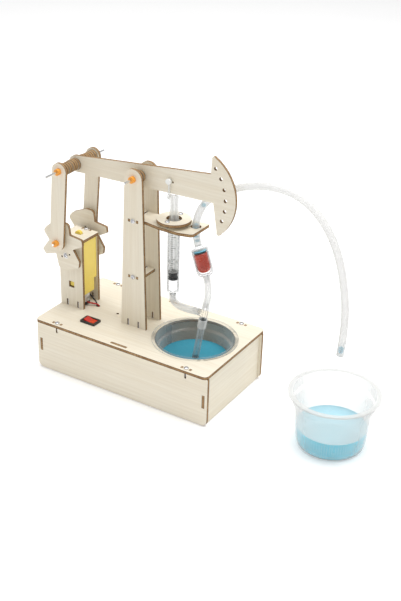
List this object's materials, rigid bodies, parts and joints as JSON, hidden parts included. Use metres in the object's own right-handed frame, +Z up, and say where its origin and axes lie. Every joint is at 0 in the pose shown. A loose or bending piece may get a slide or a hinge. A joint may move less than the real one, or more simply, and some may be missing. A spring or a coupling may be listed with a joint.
{
  "type": "motorised pump-jack water pump kit",
  "caption": "Wooden pump-jack kit: a geared motor rocks a horse-head beam that works a syringe pump, lifting water from a cup in the base through a hose to a free cup.",
  "frame": {"origin": "centre of the footprint of the base and the receiving cup, on the table", "axes": "+Z up, +X along the beam towards the horse head, -Y the side with the rocker switch"},
  "size_m": [0.3094, 0.095, 0.209],
  "materials": {
    "plywood": "sanded basswood plywood with dark laser-cut edges",
    "steel": "plain drawn steel",
    "screw_chrome": "bright zinc plated",
    "black_plastic": "moulded",
    "yellow_plastic": "moulded, semi-gloss",
    "orange_plastic": "soft extruded plastic",
    "white_plastic": "moulded nylon",
    "red_rocker": "polished",
    "red_plastic": "moulded",
    "red_wire": "pvc insulation",
    "black_wire": "pvc insulation",
    "black_rubber": "moulded",
    "cell_jacket": "printed jacket, plain",
    "clear_cup": "clear polypropylene",
    "clear_plastic": "clear moulded plastic",
    "clear_tube": "flexible clear pvc",
    "blue_water": "dyed water"
  },
  "bodies": {
    "frame": {"deck": "plywood", "front_wall": "plywood", "back_wall": "plywood", "end_walls": "plywood", "near_motor_plate": "plywood", "far_motor_plate": "plywood", "tower_cap": "plywood", "near_leg": "plywood", "far_leg": "plywood", "syringe_platform": "plywood", "leg_brace": "plywood", "clamp_ring": "plywood", "pivot_washers": "plywood", "frame_screws": "screw_chrome", "switch_bezel": "black_plastic", "battery_holder": "black_plastic", "battery_cells": "cell_jacket", "battery_contacts": "steel", "red_wires": "red_wire", "black_wire": "black_wire", "sump_cup": "clear_cup", "sump_water": "blue_water", "gearbox_casing": "yellow_plastic", "motor_can": "steel", "motor_end_cap": "black_plastic", "syringe_barrel": "clear_plastic", "syringe_hose": "clear_tube", "tee_connector": "clear_plastic", "suction_tube": "clear_tube", "suction_sleeve": "clear_tube", "foot_valve": "clear_plastic", "valve_hose": "clear_tube", "valve_housing": "clear_plastic", "valve_core": "red_plastic", "discharge_hose": "clear_tube", "pivot_axle": "steel", "pivot_bushes": "orange_plastic"},
    "rocker": {"switch_rocker": "red_rocker"},
    "beam": {"beam": "plywood", "tail_axle": "steel", "tail_washers": "plywood", "tail_bushes": "orange_plastic", "plunger_pin": "white_plastic"},
    "link": {"plunger_link": "clear_plastic"},
    "plunger": {"plunger": "clear_plastic", "plunger_stopper": "black_rubber"},
    "crank": {"motor_shaft": "white_plastic", "near_crank": "plywood", "far_crank": "plywood", "crank_screws": "screw_chrome"},
    "near_rod": {"near_rod": "plywood", "near_rod_pin": "steel", "near_rod_bush": "orange_plastic"},
    "far_rod": {"far_rod": "plywood", "far_rod_pin": "steel", "far_rod_bush": "orange_plastic"},
    "foot_ball": {"foot_valve_ball": "steel"},
    "receiver": {"receiving_cup": "clear_cup", "receiving_water": "blue_water"}
  },
  "joints": [
    {"name": "crank_turn", "type": "hinge", "parent": "frame", "child": "crank", "pos_m": [-0.13055, 0, 0.098], "axis": [0, -1, 0], "continuous": true},
    {"name": "beam_rock", "type": "hinge", "parent": "frame", "child": "beam", "pos_m": [-0.06635, 0, 0.179], "axis": [0, -1, 0], "range_deg": [-1.11, 23.88]},
    {"name": "near_rod_swing", "type": "hinge", "parent": "beam", "child": "near_rod", "pos_m": [-0.13061, -0.0226, 0.17473], "axis": [0, -1, 0], "range_deg": [-27.75, 1.68]},
    {"name": "far_rod_swing", "type": "hinge", "parent": "beam", "child": "far_rod", "pos_m": [-0.13061, 0.0226, 0.17473], "axis": [0, -1, 0], "range_deg": [-27.75, 1.68]},
    {"name": "link_swing", "type": "hinge", "parent": "beam", "child": "link", "pos_m": [-0.03861, -0.00235, 0.18084], "axis": [0, -1, 0], "range_deg": [-12.34, 0.96]},
    {"name": "plunger_slide", "type": "slide", "parent": "frame", "child": "plunger", "axis": [0, 0, 1], "range_m": [-0.00073, 0.01166]},
    {"name": "switch_rock", "type": "hinge", "parent": "frame", "child": "rocker", "pos_m": [-0.10085, -0.0255, 0.0472], "axis": [0, -1, 0], "range_deg": [0, 20]},
    {"name": "foot_ball_lift", "type": "slide", "parent": "frame", "child": "foot_ball", "axis": [0.165, 0, 0.9863], "range_m": [0, 0.0015]},
    {"name": "receiver_lift", "type": "slide", "parent": "frame", "child": "receiver", "axis": [0, 0, 1], "range_m": [0, 0.03]}
  ],
  "couplings": [
    {"joint": "near_rod_swing", "follows": "beam_rock", "ratio": -1.145},
    {"joint": "far_rod_swing", "follows": "beam_rock", "ratio": -1.145},
    {"joint": "link_swing", "follows": "beam_rock", "ratio": -0.5},
    {"joint": "plunger_slide", "follows": "beam_rock", "m_per_rad": 0.0275}
  ]
}
